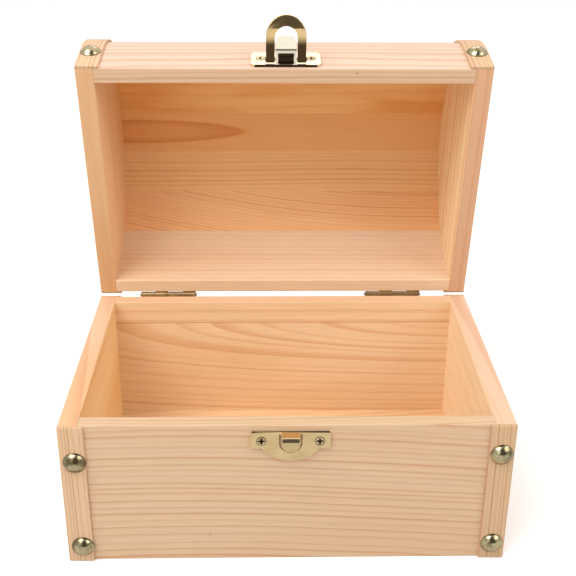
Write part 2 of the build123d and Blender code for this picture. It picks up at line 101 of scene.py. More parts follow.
lens = bpy.data.cameras.new("camera")
lens.sensor_width = sensor_width
lens.lens = focal_pixels / image_pixels * sensor_width
lens.clip_start = 0.01
camera = bpy.data.objects.new("camera", lens)
look = (
    Matrix.Rotation(camera_pan, 3, "Z")
    @ Matrix.Rotation(camera_tilt, 3, "X")
    @ Matrix.Rotation(camera_roll, 3, "Y")
    @ Matrix.Rotation(math.radians(90), 3, "X")
)
camera.matrix_world = Matrix.Translation(camera_place) @ look.to_4x4()
bpy.context.scene.collection.objects.link(camera)
bpy.context.scene.camera = camera
print("lens", round(lens.lens, 2), "mm")

# %% [markdown]
# Every material, and the sky as well, is a small network of nodes. A few helpers keep
# those networks short to write. The first adds a node and either links or sets each
# of its inputs. The others do one step each, of arithmetic, of rescaling or of
# mixing, and hand back its result.


# %% Helpers for node networks
def put(tree, kind, settings=(), **inputs):
    """Add a node. An input given as a socket is linked, and any other value is set."""
    made = tree.nodes.new(kind)
    for name, value in dict(settings).items():
        setattr(made, name, value)
    for name, value in inputs.items():
        slot = made.inputs[int(name[1:])] if name[1:].isdigit() else made.inputs[name.replace("_", " ")]
        if isinstance(value, bpy.types.NodeSocket):
            tree.links.new(value, slot)
        else:
            slot.default_value = value
    return made


def calc(tree, operation, first, second=0.0, third=0.0):
    """One arithmetic step on numbers or sockets."""
    node = put(tree, "ShaderNodeMath", {"operation": operation}, i0=first, i1=second, i2=third)
    return node.outputs[0]


def ramp(tree, value, low, high, to_low=0.0, to_high=1.0):
    """Carry a value smoothly from one range to another and hold it at both ends."""
    node = put(
        tree,
        "ShaderNodeMapRange",
        {"interpolation_type": "SMOOTHSTEP"},
        Value=value,
        From_Min=low,
        From_Max=high,
        To_Min=to_low,
        To_Max=to_high,
    )
    return node.outputs[0]


def shifted(tree, operation, first, second):
    """One step on vectors."""
    return put(tree, "ShaderNodeVectorMath", {"operation": operation}, i0=first, i1=second).outputs


def blend_colours(tree, share, first, second, kind="MIX"):
    """Mix two colours by a share, or multiply the first by a share of the second."""
    settings = {"data_type": "RGBA", "blend_type": kind}
    return put(tree, "ShaderNodeMix", settings, i0=share, i6=first, i7=second).outputs[2]


def paint(red, green, blue):
    """A colour given in 0 to 255 screen values, turned into the linear values that shaders use."""
    shares = np.array([red, green, blue]) / 255
    linear = np.where(shares <= 0.04045, shares / 12.92, ((shares + 0.055) / 1.055) ** 2.4)
    return (*linear.tolist(), 1.0)


# %% [markdown]
# The chest stands on a pale floor that runs far past the picture. A large soft lamp
# at the upper left gives the gentle shadows at the left of both hollows. Weaker ones
# light the front from low down, fill from the right and brighten the back, and the
# bright sky does the rest. The sky has one dark patch in front, where a studio's
# unlit end would be. It shows in polished brass only: without something dark to
# mirror, brass would look like plain paint.

# %% Lay the floor and hang the lamps
floor_reach = 6.0
floor_seen = paint(251, 251, 251)
floor_mirrored = paint(186, 186, 186)
floor_in_bounces = paint(203, 203, 203)
floor_mesh = bpy.data.meshes.new("floor")
corners = [(-floor_reach, -floor_reach, 0), (floor_reach, -floor_reach, 0)]
corners += [(floor_reach, floor_reach, 0), (-floor_reach, floor_reach, 0)]
floor_mesh.from_pydata(corners, [], [(0, 1, 2, 3)])
floor = bpy.data.objects.new("floor", floor_mesh)
bpy.context.scene.collection.objects.link(floor)
floor_finish = bpy.data.materials.new("pale_floor")
floor_finish.use_nodes = True
floor_shader = floor_finish.node_tree.nodes["Principled BSDF"]
floor_tree = floor_finish.node_tree
floor_rays = put(floor_tree, "ShaderNodeLightPath").outputs
floor_tone = blend_colours(floor_tree, floor_rays["Is Glossy Ray"], floor_in_bounces, floor_mirrored)
floor_tone = blend_colours(floor_tree, floor_rays["Is Camera Ray"], floor_tone, floor_seen)
floor_tree.links.new(floor_tone, floor_shader.inputs["Base Color"])
floor_shader.inputs["Roughness"].default_value = 0.7
floor_mesh.materials.append(floor_finish)


def lamp(name, place, size, power):
    """Hang a square soft lamp that faces the chest."""
    light = bpy.data.lights.new(name, "AREA")
    light.shape = "SQUARE"
    light.size = size
    light.energy = power
    lamp_object = bpy.data.objects.new(name, light)
    away = (Vector(place) - chest_middle).to_track_quat("Z", "Y").to_matrix().to_4x4()
    lamp_object.matrix_world = Matrix.Translation(place) @ away
    bpy.context.scene.collection.objects.link(lamp_object)


chest_middle = Vector((0.0, 0.0, 0.09))
lamp("key_lamp", (-0.66, -0.55, 1.25), 0.9, 11.8)
lamp("front_lamp", (-0.75, -1.3, 0.6), 0.8, 1.9)
lamp("fill_lamp", (0.95, -0.62, 0.95), 0.8, 4.6)
lamp("back_lamp", (0.1, 1.0, 1.1), 0.8, 2.0)

world = bpy.data.worlds.new("studio")
bpy.context.scene.world = world
world.use_nodes = True
sky = world.node_tree
sky.nodes.clear()
direction = put(sky, "ShaderNodeTexCoord").outputs["Generated"]
dark_end = Vector((0.0, -0.86, 0.5)).normalized()
toward_dark = shifted(sky, "DOT_PRODUCT", direction, dark_end)["Value"]
gloom = ramp(sky, toward_dark, 0.52, 0.88, 0.9, 0.11)
rays = put(sky, "ShaderNodeLightPath").outputs
gloom_seen = calc(sky, "MULTIPLY_ADD", calc(sky, "SUBTRACT", gloom, 1.0), rays["Is Glossy Ray"], 1.0)
height = put(sky, "ShaderNodeSeparateXYZ", Vector=direction).outputs[2]
overhead = put(sky, "ShaderNodeMapRange", Value=height, To_Min=0.6, To_Max=1.1).outputs[0]
sky_strength = calc(sky, "MULTIPLY", gloom_seen, overhead)
backdrop = put(sky, "ShaderNodeBackground", Color=paint(255, 255, 255), Strength=sky_strength)
put(sky, "ShaderNodeOutputWorld", Surface=backdrop.outputs[0])
bpy.context.scene.view_settings.view_transform = "Standard"

# %% [markdown]
# ## How sawn pine gets its lines
#
# A tree grows a pale, soft ring in spring and a thin, dark, hard one in late summer.
# A board is a slice through those rings, so the lines on its faces, edges and ends
# all belong to one another. Painting a picture of wood on each face would break
# that. Here the tree itself is modelled: the distance from the heart of the tree is
# worked out for each point of the board, and every whole number of ring gaps gives
# a dark line. A heart beside the board gives straight lines, and one close behind
# its face gives the long arches of a flat-sawn board. A slope of the heart along
# the board opens those arches, and slow noise makes them sway as real growth does.


# %% Build the group that grows the rings
def group_with(name, inputs, outputs):
    """An empty shader group with named inputs and outputs, and its two end nodes."""
    tree = bpy.data.node_groups.new(name, "ShaderNodeTree")
    for kind, title, value in inputs:
        socket = tree.interface.new_socket(title, in_out="INPUT", socket_type=kind)
        if value is not None:
            socket.default_value = value
    for kind, title in outputs:
        tree.interface.new_socket(title, in_out="OUTPUT", socket_type=kind)
    return tree, tree.nodes.new("NodeGroupInput").outputs, tree.nodes.new("NodeGroupOutput").inputs


number = "NodeSocketFloat"
colour = "NodeSocketColor"
vector = "NodeSocketVector"

pine, have, give = group_with(
    "sawn_pine",
    [
        (vector, "Board", None),
        (vector, "Face", None),
        (number, "Heart Y", 0.0),
        (number, "Heart Z", -0.05),
        (number, "Lean Y", 0.0),
        (number, "Lean Z", 0.0),
        (number, "Bow Y", 0.0),
        (number, "Ring Gap", 0.003),
        (number, "Sway", 0.002),
        (number, "Seed", 0.0),
        (number, "Lines", 0.6),
        (number, "Flame", 0.3),
        (colour, "Early", paint(236, 200, 160)),
        (colour, "Late Tint", (0.83, 0.66, 0.50, 1.0)),
        (colour, "Flame Tint", (0.88, 0.71, 0.48, 1.0)),
        (colour, "Edge Tint", (0.96, 0.91, 0.94, 1.0)),
        (colour, "Outer Tint", (1.0, 1.0, 1.0, 1.0)),
        (number, "Heart Years", 0.0),
        (number, "Calm", 0.0),
        (number, "Flame Scale", 1.0),
        (vector, "Fleck", (1.0, 0.0, 0.0)),
        (colour, "Fleck Tint", (0.74, 0.60, 0.46, 1.0)),
    ],
    [(colour, "Color"), (number, "Roughness"), (number, "Height")],
)


def stretched(tree, point, along, across, seed):
    """A board's points scaled for noise, with its own stretch along the grain, moved by a seed."""
    scaled = shifted(tree, "MULTIPLY", point, (along, across, across))[0]
    offset = put(tree, "ShaderNodeCombineXYZ", X=seed, Y=calc(tree, "MULTIPLY", seed, 1.7), Z=seed).outputs[0]
    return shifted(tree, "ADD", scaled, offset)[0]


def cloud(tree, point, detail=2.0, roughness=0.5):
    """Soft noise between 0 and 1, read at a point that is already scaled."""
    node = put(tree, "ShaderNodeTexNoise", {}, Vector=point, Scale=1.0, Detail=detail, Roughness=roughness)
    return node.outputs[0]


seed = have["Seed"]
along, width, depth = put(pine, "ShaderNodeSeparateXYZ", Vector=have["Board"]).outputs

# The distance from the heart, which sways and leans along the board
slow = cloud(pine, stretched(pine, have["Board"], 7.0, 16.0, seed), 1.0)
quick = cloud(pine, stretched(pine, have["Board"], 30.0, 90.0, seed), 2.0)
bowed = calc(pine, "MULTIPLY", have["Bow Y"], calc(pine, "MULTIPLY", along, along))
lean_y = calc(pine, "MULTIPLY_ADD", have["Lean Y"], along, bowed)
lean_z = calc(pine, "MULTIPLY", have["Lean Z"], along)
from_y = calc(pine, "SUBTRACT", calc(pine, "SUBTRACT", width, have["Heart Y"]), lean_y)
from_z = calc(pine, "SUBTRACT", calc(pine, "SUBTRACT", depth, have["Heart Z"]), lean_z)
square = calc(pine, "ADD", calc(pine, "MULTIPLY", from_y, from_y), calc(pine, "MULTIPLY", from_z, from_z))
reach = calc(pine, "SQRT", square)
swayed = calc(pine, "MULTIPLY_ADD", calc(pine, "SUBTRACT", slow, 0.5), have["Sway"], reach)
quick_sway = calc(pine, "MULTIPLY", have["Sway"], 0.16)
swayed = calc(pine, "MULTIPLY_ADD", calc(pine, "SUBTRACT", quick, 0.5), quick_sway, swayed)

# The year of growth at each point, and how dark its late wood is
years = calc(pine, "DIVIDE", swayed, have["Ring Gap"])
slow_years = calc(pine, "MULTIPLY_ADD", years, 0.43, seed)
uneven = put(pine, "ShaderNodeTexNoise", {"noise_dimensions": "1D"}, W=slow_years, Scale=1.0).outputs[0]
years = calc(pine, "MULTIPLY_ADD", calc(pine, "SUBTRACT", uneven, 0.5), 1.3, years)
season = calc(pine, "FRACT", years)
whole_year = calc(pine, "ADD", calc(pine, "FLOOR", years), seed)
year_noise = put(pine, "ShaderNodeTexWhiteNoise", {"noise_dimensions": "1D"}, W=whole_year).outputs["Value"]
year_strength = ramp(pine, year_noise, 0.0, 1.0, 0.35, 1.0)
rise = calc(pine, "POWER", ramp(pine, season, 0.35, 0.92), 1.8)
fall = ramp(pine, season, 0.94, 1.0, 1.0, 0.0)
late_wood = calc(pine, "MULTIPLY", calc(pine, "MULTIPLY", rise, fall), year_strength)
heartwood = ramp(pine, calc(pine, "SUBTRACT", years, have["Heart Years"]), -0.02, 0.08, 1.0, 0.0)
calmed = calc(pine, "MULTIPLY", have["Calm"], calc(pine, "SUBTRACT", heartwood, 1.0))
late_wood = calc(pine, "MULTIPLY", late_wood, calc(pine, "ADD", calmed, 1.0))
late_share = calc(pine, "MULTIPLY", late_wood, have["Lines"])

# The colour: resin patches, late wood, fine fibre and pores, then each kind of face
patch_place = put(
    pine, "ShaderNodeVectorMath", {"operation": "SCALE"}, Vector=have["Board"], Scale=have["Flame Scale"]
).outputs[0]
patch_place = stretched(pine, patch_place, 5.0, 22.0, calc(pine, "ADD", seed, 9.0))
patch = ramp(pine, cloud(pine, patch_place), 0.38, 0.68)
patch_share = calc(pine, "MULTIPLY", patch, have["Flame"])
patch_share = calc(pine, "MULTIPLY_ADD", heartwood, 0.45, patch_share)
warm = blend_colours(pine, patch_share, have["Early"], have["Flame Tint"], "MULTIPLY")
ringed = blend_colours(pine, late_share, warm, have["Late Tint"], "MULTIPLY")
fibre = cloud(pine, stretched(pine, have["Board"], 55.0, 1700.0, seed), 3.0, 0.6)
fibre_shade = ramp(pine, fibre, 0.25, 0.75, 0.955, 1.035)
pores = cloud(pine, stretched(pine, have["Board"], 90.0, 900.0, calc(pine, "ADD", seed, 31.0)), 1.0)
pore_shade = ramp(pine, pores, 0.70, 0.78, 1.0, 0.93)
face_along, face_across, face_out = put(pine, "ShaderNodeSeparateXYZ", Vector=have["Face"]).outputs
sawn_edge = ramp(pine, calc(pine, "ABSOLUTE", face_across), 0.6, 0.9)
ringed = blend_colours(pine, sawn_edge, ringed, have["Edge Tint"], "MULTIPLY")
outside = ramp(pine, face_out, 0.6, 0.9)
ringed = blend_colours(pine, outside, ringed, have["Outer Tint"], "MULTIPLY")
from_fleck = shifted(pine, "DISTANCE", have["Board"], have["Fleck"])["Value"]
ragged = calc(pine, "MULTIPLY_ADD", quick, 0.9 * mm, from_fleck)
fleck = ramp(pine, ragged, 0.5 * mm, 1.5 * mm, 1.0, 0.0)
ringed = blend_colours(pine, fleck, ringed, have["Fleck Tint"], "MULTIPLY")
end_grain = ramp(pine, calc(pine, "ABSOLUTE", face_along), 0.6, 0.9)
end_shade = calc(pine, "MULTIPLY_ADD", end_grain, -0.14, 1.0)
shade = calc(pine, "MULTIPLY", calc(pine, "MULTIPLY", fibre_shade, pore_shade), end_shade)
grey = put(pine, "ShaderNodeCombineColor", {}, Red=shade, Green=shade, Blue=shade).outputs[0]
shaded = blend_colours(pine, 1.0, ringed, grey, "MULTIPLY")
pine.links.new(shaded, give["Color"])
pine.links.new(calc(pine, "MULTIPLY_ADD", late_wood, -0.14, 0.62), give["Roughness"])
relief = calc(pine, "MULTIPLY_ADD", late_wood, 0.5, calc(pine, "MULTIPLY", fibre, 0.35))
pine.links.new(relief, give["Height"])
print("pine group nodes", len(pine.nodes))

# %% [markdown]
# ## Where each board lies in its tree
#
# A board has its own axes: along the grain, across its width, and out of its face.
# A Mapping node of the Texture kind turns the chest's coordinates into the board's.
# The lid's boards are described as if the lid were shut, and one rotation about the
# hinge line carries their axes to where the open lid has them.


# %% Helpers for boards
def opened(direction):
    """Turn a direction of the shut lid to the open lid."""
    return Matrix.Rotation(open_turn, 3, "X") @ Vector(direction)


def points_of(mesh):
    """All points of a mesh as rows of numbers."""
    flat = np.empty(len(mesh.vertices) * 3)
    mesh.vertices.foreach_get("co", flat)
    return flat.reshape(-1, 3)


def board_frame(node, grain, outward):
    """The middle and the turn of a board: its first axis is the grain, its third leaves its face."""
    first = np.array(Vector(grain).normalized())
    third = np.array(Vector(outward).normalized())
    axes = np.array([first, np.cross(third, first), third])
    measured = points_of(frame["nodes"][node].data) @ axes.T
    middle = (measured.min(0) + measured.max(0)) / 2 @ axes
    return Vector(middle), Matrix(axes.tolist()).transposed().to_euler()


def pine_material(name, values, place=None, zone=None):
    """A pine finish with a board's own heart, ring gap and colours.

    With a place, a middle and a turn, the board is straight. Without one, the piece
    carries its own board coordinates. A zone is a second board glued on along one
    side: the width at which it starts, and the values that differ there.
    """
    material = bpy.data.materials.new(name)
    material.use_nodes = True
    tree = material.node_tree
    shader = tree.nodes["Principled BSDF"]
    if place:
        chest = put(tree, "ShaderNodeTexCoord").outputs
        middle, turn = place
        kind = {"vector_type": "TEXTURE"}
        board = put(tree, "ShaderNodeMapping", kind, Vector=chest["Object"], Location=middle, Rotation=turn)
        face = put(tree, "ShaderNodeMapping", kind, Vector=chest["Normal"], Rotation=turn)
        board, face = board.outputs[0], face.outputs[0]
    else:
        board = put(tree, "ShaderNodeAttribute", {"attribute_name": "board_place"}).outputs["Vector"]
        face = put(tree, "ShaderNodeAttribute", {"attribute_name": "board_face"}).outputs["Vector"]

    def grown(chosen):
        node = put(tree, "ShaderNodeGroup", {"node_tree": pine}, Board=board, Face=face)
        for title, value in chosen.items():
            node.inputs[title].default_value = value
        return node.outputs

    first = grown(values)
    tone = first["Color"]
    if zone:
        start, changed = zone
        other = grown({**values, **changed})
        board_width = put(tree, "ShaderNodeSeparateXYZ", Vector=board).outputs[1]
        past = calc(tree, "SUBTRACT", board_width, start)
        tone = blend_colours(tree, calc(tree, "GREATER_THAN", past, 0.0), tone, other["Color"])
        seam = ramp(tree, calc(tree, "ABSOLUTE", past), 0.1 * mm, 0.45 * mm, 0.55, 0.0)
        glue_line = paint(196, 140, 96)
        tone = blend_colours(tree, seam, tone, glue_line, "MULTIPLY")
    tree.links.new(tone, shader.inputs["Base Color"])
    tree.links.new(first["Roughness"], shader.inputs["Roughness"])
    bump = put(tree, "ShaderNodeBump", {}, Height=first["Height"], Strength=0.25, Distance=0.12 * mm)
    tree.links.new(bump.outputs[0], shader.inputs["Normal"])
    shader.inputs["Specular IOR Level"].default_value = 0.32
    return material


# %% [markdown]
# ## Easing the edges
#
# Sanded wood has no sharp edges: each one that a hand can reach is rounded by half a
# millimetre and catches a thin line of light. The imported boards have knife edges
# there. So each board is copied, its loose triangles are joined, and the edges that
# touch no neighbour are bevelled. Edges that lie against another board stay sharp,
# because sanding never reaches a glued joint.


# %% Ease the free edges of a piece
weld_distance = 0.002 * mm
flat_angle = math.radians(0.4)
touching = 0.05 * mm
shading_angle = math.radians(32)


def joined_copy(node, flatten):
    """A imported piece's mesh with its loose triangles joined, and its flat faces made whole if asked."""
    work = bmesh.new()
    work.from_mesh(frame["nodes"][node].data)
    bmesh.ops.remove_doubles(work, verts=work.verts, dist=weld_distance)
    if flatten:
        bmesh.ops.dissolve_limit(work, angle_limit=flat_angle, verts=work.verts, edges=work.edges)
    return work


def tree_of(nodes):
    """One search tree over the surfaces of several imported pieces."""
    points, faces = [], []
    for node in nodes:
        mesh = frame["nodes"][node].data
        start = len(points)
        points += [v.co.copy() for v in mesh.vertices]
        faces += [tuple(start + i for i in p.vertices) for p in mesh.polygons]
    return BVHTree.FromPolygons(points, faces) if faces else None


def eased(node, neighbours, ease, material, steps=3, least_angle=35, flatten=True):
    """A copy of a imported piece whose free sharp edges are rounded, standing in for it."""
    work = joined_copy(node, flatten)
    around = tree_of([n for n in neighbours if n != node])
    sharp = math.radians(least_angle)
    free = []
    for edge in work.edges:
        if len(edge.link_faces) != 2 or edge.calc_face_angle(0) < sharp or not edge.is_convex:
            continue
        middle = (edge.verts[0].co + edge.verts[1].co) / 2
        gap = around.find_nearest(middle)[3] if around else 1.0
        if gap > touching:
            free.append(edge)
    if free:
        bmesh.ops.bevel(
            work, geom=free, offset=ease, segments=steps, profile=0.5, affect="EDGES", clamp_overlap=True
        )
    mesh = bpy.data.meshes.new(node + "_eased")
    work.to_mesh(mesh)
    work.free()
    piece = bpy.data.objects.new(node + "_finished", mesh)
    bpy.context.scene.collection.objects.link(piece)
    mesh.shade_smooth()
    mesh.set_sharp_from_angle(angle=shading_angle)
    weighted = piece.modifiers.new("even_shading", "WEIGHTED_NORMAL")
    weighted.keep_sharp = True
    mesh.materials.append(material)
    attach(piece, frame["nodes"][node]["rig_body"])
    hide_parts(node)
    return mesh


slots = {row["node"]: row["material_slot"] for row in frame["record"]["subparts"]}
box_boards = [n for n in slots if n.startswith("box_") and not n.endswith("nails")]
lid_boards = [n for n in slots if n.startswith("lid_") and not n.endswith("nails")]
print("boards", len(box_boards), "in the box and", len(lid_boards), "in the lid")

# %% [markdown]
# ## The boards, one by one
#
# Each board is sawn from another place, so each gets its own heart, ring gap and
# tone. All lengths are in metres. The heart's place is counted from the board's
# middle, across its width and out of its face, and the leans say how far the heart
# wanders off for each metre along the grain. Each tone is the board's early wood as
# screen values, and the tints multiply it.

# %% Finish the front panel
ease_wood = 0.5 * mm


def finish_board(node, grain, outward, tone, values, zone=None, outer=None, fleck=None):
    """Give one straight board its pine and ease its edges.

    Its outer face may have its own tone, and a fleck is a place of the chest with a
    small dark mark, such as a pin knot or a nick.
    """
    in_lid = node in lid_boards
    if in_lid:
        grain, outward = opened(grain), opened(outward)
    place = board_frame(node, grain, outward)
    chosen = {"Early": paint(*tone), **values}
    if outer:
        chosen["Outer Tint"] = [a / b for a, b in zip(paint(*outer), paint(*tone))]
    if fleck:
        middle, turn = place
        chosen["Fleck"] = turn.to_matrix().transposed() @ (Vector(fleck) - middle)
    material = pine_material(node + "_pine", chosen, place, zone)
    mesh = eased(node, lid_boards if in_lid else box_boards, ease_wood, material)
    print(node, "faces", len(mesh.polygons))


pin_knot = (-0.0353, -0.0654, 0.0137)
finish_board(
    "box_front_panel",
    (1, 0, 0),
    (0, -1, 0),
    (213, 179, 145),
    {
        "Heart Y": -0.130,
        "Heart Z": -0.200,
        "Lean Y": -0.028,
        "Bow Y": -0.31,
        "Ring Gap": 0.0018,
        "Sway": 0.0022,
        "Lines": 0.95,
        "Flame": 0.15,
        "Seed": 3.0,
        "Edge Tint": (0.95, 0.99, 1.0, 1.0),
    },
    fleck=pin_knot,
)

# %% [markdown]
# The back panel is glued from two boards. The upper one is a narrow strip with
# straight lines, and the lower one is flat-sawn, with the tree's heart so close
# behind its face that the rings open into long arches.

# %% Finish the back panel, the ends and the bottom
seam_width = 0.0235
finish_board(
    "box_back_panel",
    (1, 0, 0),
    (0, -1, 0),
    (238, 205, 166),
    {
        "Heart Y": 0.026,
        "Heart Z": -0.0109,
        "Lean Z": 0.138,
        "Ring Gap": 0.0040,
        "Sway": 0.0025,
        "Lines": 0.75,
        "Flame": 0.4,
        "Seed": 11.0,
    },
    zone=(
        seam_width,
        {"Heart Y": -0.10, "Heart Z": -0.03, "Lean Z": 0.0, "Ring Gap": 0.0052, "Sway": 0.0015, "Lines": 0.7},
    ),
)

planed_tone = (228, 192, 152)
sides = {"left": (-1, 0, 0), "right": (1, 0, 0)}
end_tones = {"left": (254, 220, 167), "right": (254, 231, 195)}
end_values = {
    "left": {
        "Heart Y": 0.08,
        "Lines": 0.55,
        "Flame": 0.6,
        "Seed": 21.0,
        "Edge Tint": (0.79, 0.72, 0.88, 1.0),
    },
    "right": {
        "Heart Y": -0.08,
        "Lines": 0.7,
        "Flame": 0.2,
        "Seed": 27.0,
        "Edge Tint": (0.76, 0.61, 0.61, 1.0),
    },
}
for side, outward in sides.items():
    values = {"Heart Z": 0.05, "Lean Y": 0.03, "Ring Gap": 0.0030, "Sway": 0.003, **end_values[side]}
    finish_board(f"box_{side}_end_panel", (0, 1, 0), outward, end_tones[side], values, outer=planed_tone)

finish_board(
    "box_bottom_panel",
    (1, 0, 0),
    (0, 0, -1),
    (230, 192, 146),
    {"Heart Y": 0.02, "Heart Z": -0.09, "Lean Z": 0.1, "Ring Gap": 0.004, "Sway": 0.006, "Seed": 5.0},
)

# %% [markdown]
# The corner strips are quarter-sawn: the heart lies far to one side, so the lines
# run straight up and stand close together.

# %% Finish the corner strips of the box
strip_values = {
    "Heart Y": 0.12,
    "Heart Z": 0.02,
    "Lean Y": 0.01,
    "Ring Gap": 0.0019,
    "Sway": 0.0012,
    "Lines": 1.0,
    "Flame": 0.15,
    "Late Tint": (0.72, 0.55, 0.43, 1.0),
}
strip_tones = {"left": (216, 179, 142), "right": (207, 170, 132)}
for face, y in (("front", -1), ("back", 1)):
    for side in sides:
        values = {**strip_values, "Seed": 41.0 + y + (5 if side == "left" else 0)}
        finish_board(f"box_{face}_{side}_strip", (0, 0, 1), (0, y, 0), strip_tones[side], values)

# %% [markdown]
# The lid's dome is glued from five staves between a front and a back rail. Some are
# orange and full of resin and some are pale, just as they come off the saw. Outside,
# where the dome was planed and light has bleached it, they are closer in tone. The
# third stave shows the tip of one dark growth layer as a pointed lens.

# %% Finish the rails and the staves
dome_tones = [(220, 186, 160), (214, 178, 144), (218, 183, 152), (222, 188, 156), (218, 183, 154)]
inner_tones = [(238, 200, 154), (246, 194, 128), (238, 180, 118), (240, 190, 132), (241, 188, 134)]
front_rail = {
    "Heart Y": -0.05,
    "Heart Z": -0.07,
    "Ring Gap": 0.0026,
    "Sway": 0.005,
    "Lines": 0.75,
    "Flame": 0.1,
    "Seed": 61.0,
    "Late Tint": (0.74, 0.58, 0.42, 1.0),
    "Edge Tint": (1.0, 0.96, 0.79, 1.0),
}
back_rail = {
    "Heart Y": 0.10,
    "Heart Z": -0.02,
    "Ring Gap": 0.0036,
    "Sway": 0.003,
    "Lines": 0.5,
    "Flame": 0.2,
    "Seed": 66.0,
    "Edge Tint": (1.0, 1.0, 0.97, 1.0),
}
rim_nick = (0.0345, 0.0425, 0.2002)
finish_board("lid_front_rail", (1, 0, 0), (0, -1, 0), (218, 185, 163), front_rail, fleck=rim_nick)
finish_board("lid_back_rail", (1, 0, 0), (0, 1, 0), (232, 200, 168), back_rail)

first_joint = math.radians(-57.0)
stave_width = math.radians(25.2)
stave_values = [
    {"Heart Y": 0.12, "Heart Z": -0.01, "Ring Gap": 0.0040, "Sway": 0.003, "Lines": 0.6, "Flame": 0.2},
    {
        "Heart Y": 0.04,
        "Heart Z": 0.01,
        "Ring Gap": 0.0090,
        "Sway": 0.0200,
        "Lines": 0.3,
        "Flame": 1.0,
        "Flame Scale": 2.4,
    },
    {
        "Heart Z": 0.0060,
        "Lean Z": 0.115,
        "Ring Gap": 0.0072,
        "Sway": 0.002,
        "Lines": 0.75,
        "Flame": 0.2,
        "Heart Years": 1.0,
        "Calm": 0.95,
    },
    {"Heart Y": 0.10, "Heart Z": 0.01, "Ring Gap": 0.0026, "Sway": 0.0040, "Lines": 1.0, "Flame": 0.2},
    {
        "Heart Y": -0.06,
        "Heart Z": 0.0,
        "Lean Y": 0.125,
        "Bow Y": -0.69,
        "Ring Gap": 0.0017,
        "Sway": 0.003,
        "Lines": 0.95,
        "Flame": 0.3,
        "Late Tint": (0.80, 0.60, 0.48, 1.0),
    },
]
for index, values in enumerate(stave_values):
    turn = first_joint + (index + 0.5) * stave_width
    outward = (0, math.sin(turn), math.cos(turn))
    values["Seed"] = 71.0 + 3 * index
    tones = {"tone": inner_tones[index], "outer": dome_tones[index]}
    finish_board(f"lid_stave_{index + 1}", (1, 0, 0), outward, values=values, **tones)

# %% [markdown]
# The lid's ends are single boards with the grain across the arch. The left one is
# nearly plain, and the right one has wide rings that show as bold upright lines.

# %% Finish the lid's ends
lid_end_tones = {"left": (246, 208, 164), "right": (255, 230, 188)}
lid_end_values = {
    "left": {
        "Edge Tint": (0.78, 0.67, 0.59, 1.0),
        "Heart Y": 0.12,
        "Heart Z": 0.03,
        "Ring Gap": 0.0045,
        "Sway": 0.004,
        "Lines": 0.35,
        "Flame": 0.5,
        "Seed": 81.0,
    },
    "right": {
        "Edge Tint": (0.71, 0.53, 0.50, 1.0),
        "Late Tint": (0.84, 0.57, 0.36, 1.0),
        "Flame Tint": (0.97, 0.80, 0.60, 1.0),
        "Heart Y": -0.08,
        "Heart Z": 0.06,
        "Ring Gap": 0.0060,
        "Sway": 0.002,
        "Lines": 1.0,
        "Flame": 0.3,
        "Seed": 86.0,
    },
}
for side, outward in sides.items():
    tones = {"tone": lid_end_tones[side], "outer": planed_tone}
    finish_board(f"lid_{side}_end_board", (0, 1, 0), outward, values=lid_end_values[side], **tones)

# %% [markdown]
# A lid strip is bent over the arch, so its grain is bent too. Each of its points gets
# its own board coordinates: the way along the arch from the top, the place across
# the strip, and the height above the arch's middle line. On the straight walls the
# way goes on by plain height, and above them it is an angle times a radius.


# %% Finish the bent strips of the lid
def bent_places(points, spring, radius):
    """Board coordinates of points on a strip bent over the lid, and the grain's direction there."""
    back = np.array(Matrix.Rotation(-open_turn, 3, "X"))
    centre = np.array(hinge_line)
    shut = (points - centre) @ back.T + centre
    up = shut[:, 2] - spring
    turn = np.arctan2(shut[:, 1], np.maximum(up, 0.0))
    along = turn * radius + np.sign(turn) * np.maximum(-up, 0.0)
    out = np.where(up > 0, np.hypot(shut[:, 1], up), np.abs(shut[:, 1])) - radius
    grain = np.stack([np.zeros(len(turn)), np.cos(turn), -np.sin(turn)], -1) @ back
    return np.stack([along, shut[:, 0], out], -1), grain


strip_low, strip_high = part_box("box_front_left_strip")
box_height = strip_high.z
rim_gap = 0.4 * mm
lid_wall_height = 22.0 * mm
lid_rim = box_height + rim_gap
wall_top = lid_rim + lid_wall_height
arch_radius = 62.0 * mm
for side in sides:
    node = f"lid_{side}_strip"
    values = {**strip_values, "Early": paint(*strip_tones[side]), "Seed": 93.0 if side == "left" else 97.0}
    mesh = eased(node, lid_boards, ease_wood, pine_material(node + "_pine", values), flatten=False)
    places, _ = bent_places(points_of(mesh), wall_top, arch_radius)
    board_place = mesh.attributes.new("board_place", "FLOAT_VECTOR", "POINT")
    board_place.data.foreach_set("vector", places.astype(np.float32).ravel())
    middles = np.array([polygon.center for polygon in mesh.polygons])
    normals = np.array([polygon.normal for polygon in mesh.polygons])
    _, grain = bent_places(middles, wall_top, arch_radius)
    facing = np.zeros_like(normals)
    facing[:, 0] = (normals * grain).sum(1)
    board_face = mesh.attributes.new("board_face", "FLOAT_VECTOR", "FACE")
    board_face.data.foreach_set("vector", facing.astype(np.float32).ravel())
    print(node, "faces", len(mesh.polygons))

# %% [markdown]
# ## Brass
#
# The plates, the ring and the lever are pressed from thin brass sheet with a bright
# plating, and the nails are darker. Plated metal needs three things to look real: a
# colour in its mirror image, a roughness that changes from place to place where
# fingers and polish have been, and very fine scratches. One group makes the smudges
# and scratches, and each metal places it with its own strength.

